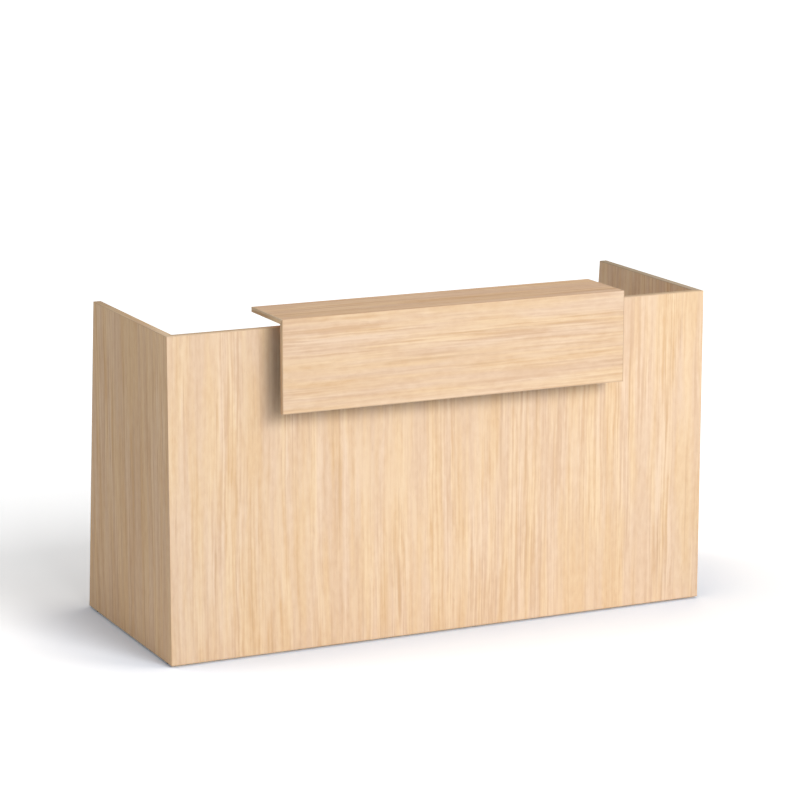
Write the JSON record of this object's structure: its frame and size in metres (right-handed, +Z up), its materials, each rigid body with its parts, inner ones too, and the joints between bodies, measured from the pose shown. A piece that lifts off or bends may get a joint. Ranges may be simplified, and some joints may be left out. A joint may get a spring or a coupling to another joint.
{
  "type": "reception desk",
  "caption": "Straight reception desk in light oak board: mitred front and end panels round a worktop, with a raised visitor counter on steel brackets, levelling feet and cable grommets.",
  "frame": {"origin": "on the floor, under the middle of the desk's outer box", "axes": "+X along the desk's width, -Y towards the visitor, +Z up"},
  "size_m": [2, 0.897, 1.154],
  "materials": {
    "board_oak": "light oak melamine, satin, fine straight grain",
    "edge_band": "oak print on plastic edge band, satin",
    "bracket_steel": "fine silver-grey powder coat",
    "zinc_steel": "bright zinc",
    "screw_steel": "zinc-plated thread",
    "sole_plastic": "black, matte",
    "grommet_plastic": "silver-grey, fine moulded grain"
  },
  "bodies": {
    "carcass": {"front_panel": "board_oak", "left_end_panel": "board_oak", "right_end_panel": "board_oak", "worktop": "board_oak", "counter_shelf": "board_oak", "counter_fascia": "board_oak", "front_top_band": "edge_band", "front_bottom_band": "edge_band", "left_end_top_band": "edge_band", "left_end_bottom_band": "edge_band", "left_end_rear_band": "edge_band", "right_end_top_band": "edge_band", "right_end_bottom_band": "edge_band", "right_end_rear_band": "edge_band", "worktop_rear_band": "edge_band", "shelf_rear_band": "edge_band", "shelf_left_band": "edge_band", "shelf_right_band": "edge_band", "fascia_left_band": "edge_band", "fascia_right_band": "edge_band", "fascia_bottom_band": "edge_band", "worktop_rail": "bracket_steel", "counter_bracket_left": "bracket_steel", "counter_bracket_middle": "bracket_steel", "counter_bracket_right": "bracket_steel", "worktop_angle_front_left": "zinc_steel", "worktop_angle_front_middle": "zinc_steel", "worktop_angle_front_right": "zinc_steel", "worktop_angle_left_front": "zinc_steel", "worktop_angle_left_rear": "zinc_steel", "worktop_angle_right_front": "zinc_steel", "worktop_angle_right_rear": "zinc_steel", "corner_angle_left_low": "zinc_steel", "corner_angle_left_middle": "zinc_steel", "corner_angle_left_high": "zinc_steel", "corner_angle_right_low": "zinc_steel", "corner_angle_right_middle": "zinc_steel", "corner_angle_right_high": "zinc_steel", "foot_insert_left_front": "zinc_steel", "foot_insert_left_rear": "zinc_steel", "foot_insert_right_front": "zinc_steel", "foot_insert_right_rear": "zinc_steel", "grommet_liner_left": "grommet_plastic", "grommet_liner_right": "grommet_plastic"},
    "sole_left_front": {"foot_sole_left_front": "sole_plastic"},
    "screw_left_front": {"foot_screw_left_front": "screw_steel"},
    "sole_left_rear": {"foot_sole_left_rear": "sole_plastic"},
    "screw_left_rear": {"foot_screw_left_rear": "screw_steel"},
    "sole_right_front": {"foot_sole_right_front": "sole_plastic"},
    "screw_right_front": {"foot_screw_right_front": "screw_steel"},
    "sole_right_rear": {"foot_sole_right_rear": "sole_plastic"},
    "screw_right_rear": {"foot_screw_right_rear": "screw_steel"},
    "lid_left": {"grommet_lid_left": "grommet_plastic"},
    "cover_left": {"grommet_cover_left": "grommet_plastic"},
    "lid_right": {"grommet_lid_right": "grommet_plastic"},
    "cover_right": {"grommet_cover_right": "grommet_plastic"}
  },
  "joints": [
    {"name": "foot_travel_left_front", "type": "slide", "parent": "carcass", "child": "sole_left_front", "axis": [0, 0, -1], "range_m": [0, 0.012]},
    {"name": "foot_turn_left_front", "type": "hinge", "parent": "sole_left_front", "child": "screw_left_front", "pos_m": [-0.986, -0.3015, 0.004], "axis": [0, 0, -1], "range_deg": [0, 3456]},
    {"name": "foot_travel_left_rear", "type": "slide", "parent": "carcass", "child": "sole_left_rear", "axis": [0, 0, -1], "range_m": [0, 0.012]},
    {"name": "foot_turn_left_rear", "type": "hinge", "parent": "sole_left_rear", "child": "screw_left_rear", "pos_m": [-0.986, 0.3805, 0.004], "axis": [0, 0, -1], "range_deg": [0, 3456]},
    {"name": "foot_travel_right_front", "type": "slide", "parent": "carcass", "child": "sole_right_front", "axis": [0, 0, -1], "range_m": [0, 0.012]},
    {"name": "foot_turn_right_front", "type": "hinge", "parent": "sole_right_front", "child": "screw_right_front", "pos_m": [0.986, -0.3015, 0.004], "axis": [0, 0, -1], "range_deg": [0, 3456]},
    {"name": "foot_travel_right_rear", "type": "slide", "parent": "carcass", "child": "sole_right_rear", "axis": [0, 0, -1], "range_m": [0, 0.012]},
    {"name": "foot_turn_right_rear", "type": "hinge", "parent": "sole_right_rear", "child": "screw_right_rear", "pos_m": [0.986, 0.3805, 0.004], "axis": [0, 0, -1], "range_deg": [0, 3456]},
    {"name": "grommet_lift_left", "type": "slide", "parent": "carcass", "child": "lid_left", "axis": [0, 0, 1], "range_m": [0, 0.03]},
    {"name": "grommet_cover_turn_left", "type": "hinge", "parent": "lid_left", "child": "cover_left", "pos_m": [-0.552, -0.2205, 0.742], "axis": [0, 0, 1], "range_deg": [0, 180]},
    {"name": "grommet_lift_right", "type": "slide", "parent": "carcass", "child": "lid_right", "axis": [0, 0, 1], "range_m": [0, 0.03]},
    {"name": "grommet_cover_turn_right", "type": "hinge", "parent": "lid_right", "child": "cover_right", "pos_m": [0.552, -0.2205, 0.742], "axis": [0, 0, 1], "range_deg": [0, 180]}
  ],
  "couplings": [
    {"joint": "foot_travel_left_front", "follows": "foot_turn_left_front", "m_per_rad": 0.00019894},
    {"joint": "foot_travel_left_rear", "follows": "foot_turn_left_rear", "m_per_rad": 0.00019894},
    {"joint": "foot_travel_right_front", "follows": "foot_turn_right_front", "m_per_rad": 0.00019894},
    {"joint": "foot_travel_right_rear", "follows": "foot_turn_right_rear", "m_per_rad": 0.00019894}
  ]
}
